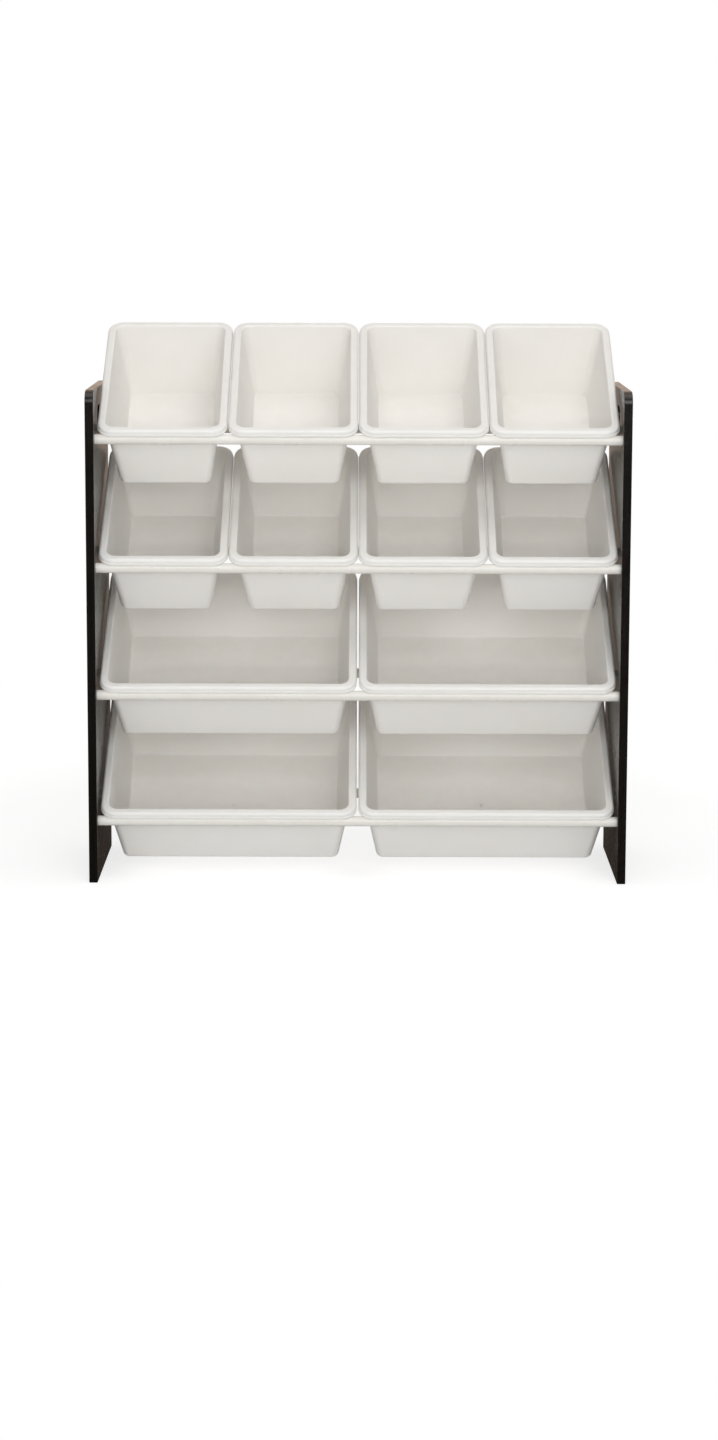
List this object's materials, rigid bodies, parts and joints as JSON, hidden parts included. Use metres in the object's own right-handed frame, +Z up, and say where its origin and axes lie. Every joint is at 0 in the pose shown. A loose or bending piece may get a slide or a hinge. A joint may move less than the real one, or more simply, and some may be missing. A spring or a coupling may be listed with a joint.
{
  "type": "toy storage organizer",
  "caption": "Free-standing toy organizer with two side panels joined by rods that hold rows of tilted, removable open bins.",
  "frame": {"origin": "on the floor, under the middle of the whole organizer's box", "axes": "+X to the viewer's right, +Y from the front to the rear, +Z up"},
  "size_m": [0.857, 0.3074, 0.8811],
  "materials": {
    "side_panels": "dark laminate with a fine grain, satin",
    "rods": "white paint, semi-gloss",
    "end_plugs": "moulded, matt",
    "screws": "zinc plated",
    "bins": "moulded white plastic, satin"
  },
  "bodies": {
    "frame": {"front_rod_bottom": "rods", "front_rod_bottom_end_plugs": "end_plugs", "front_rod_second": "rods", "front_rod_second_end_plugs": "end_plugs", "front_rod_third": "rods", "front_rod_third_end_plugs": "end_plugs", "front_rod_top": "rods", "front_rod_top_end_plugs": "end_plugs", "left_panel_screws": "screws", "left_side_panel": "side_panels", "rear_rod_bottom": "rods", "rear_rod_bottom_end_plugs": "end_plugs", "rear_rod_second": "rods", "rear_rod_second_end_plugs": "end_plugs", "rear_rod_third": "rods", "rear_rod_third_end_plugs": "end_plugs", "rear_rod_top": "rods", "rear_rod_top_end_plugs": "end_plugs", "right_panel_screws": "screws", "right_side_panel": "side_panels"},
    "large_bin_bottom_1": {"large_bin_bottom_1": "bins"},
    "large_bin_bottom_2": {"large_bin_bottom_2": "bins"},
    "large_bin_third_1": {"large_bin_third_1": "bins"},
    "large_bin_third_2": {"large_bin_third_2": "bins"},
    "small_bin_second_1": {"small_bin_second_1": "bins"},
    "small_bin_second_2": {"small_bin_second_2": "bins"},
    "small_bin_second_3": {"small_bin_second_3": "bins"},
    "small_bin_second_4": {"small_bin_second_4": "bins"},
    "small_bin_top_1": {"small_bin_top_1": "bins"},
    "small_bin_top_2": {"small_bin_top_2": "bins"},
    "small_bin_top_3": {"small_bin_top_3": "bins"},
    "small_bin_top_4": {"small_bin_top_4": "bins"}
  },
  "joints": [
    {"name": "small_bin_top_1_tip", "type": "hinge", "parent": "frame", "child": "small_bin_top_1", "pos_m": [0, 0.08988, 0.709], "axis": [-1, 0, 0], "range_deg": [0, 60]},
    {"name": "small_bin_top_2_tip", "type": "hinge", "parent": "frame", "child": "small_bin_top_2", "pos_m": [0, 0.08988, 0.709], "axis": [-1, 0, 0], "range_deg": [0, 60]},
    {"name": "small_bin_top_3_tip", "type": "hinge", "parent": "frame", "child": "small_bin_top_3", "pos_m": [0, 0.08988, 0.709], "axis": [-1, 0, 0], "range_deg": [0, 60]},
    {"name": "small_bin_top_4_tip", "type": "hinge", "parent": "frame", "child": "small_bin_top_4", "pos_m": [0, 0.08988, 0.709], "axis": [-1, 0, 0], "range_deg": [0, 60]},
    {"name": "small_bin_second_1_tip", "type": "hinge", "parent": "frame", "child": "small_bin_second_1", "pos_m": [0, 0.08988, 0.505], "axis": [-1, 0, 0], "range_deg": [0, 33]},
    {"name": "small_bin_second_2_tip", "type": "hinge", "parent": "frame", "child": "small_bin_second_2", "pos_m": [0, 0.08988, 0.505], "axis": [-1, 0, 0], "range_deg": [0, 33]},
    {"name": "small_bin_second_3_tip", "type": "hinge", "parent": "frame", "child": "small_bin_second_3", "pos_m": [0, 0.08988, 0.505], "axis": [-1, 0, 0], "range_deg": [0, 33]},
    {"name": "small_bin_second_4_tip", "type": "hinge", "parent": "frame", "child": "small_bin_second_4", "pos_m": [0, 0.08988, 0.505], "axis": [-1, 0, 0], "range_deg": [0, 33]},
    {"name": "large_bin_third_1_tip", "type": "hinge", "parent": "frame", "child": "large_bin_third_1", "pos_m": [0, 0.08988, 0.301], "axis": [-1, 0, 0], "range_deg": [0, 33]},
    {"name": "large_bin_third_2_tip", "type": "hinge", "parent": "frame", "child": "large_bin_third_2", "pos_m": [0, 0.08988, 0.301], "axis": [-1, 0, 0], "range_deg": [0, 33]},
    {"name": "large_bin_bottom_1_tip", "type": "hinge", "parent": "frame", "child": "large_bin_bottom_1", "pos_m": [0, 0.08988, 0.097], "axis": [-1, 0, 0], "range_deg": [0, 33]},
    {"name": "large_bin_bottom_2_tip", "type": "hinge", "parent": "frame", "child": "large_bin_bottom_2", "pos_m": [0, 0.08988, 0.097], "axis": [-1, 0, 0], "range_deg": [0, 33]}
  ]
}
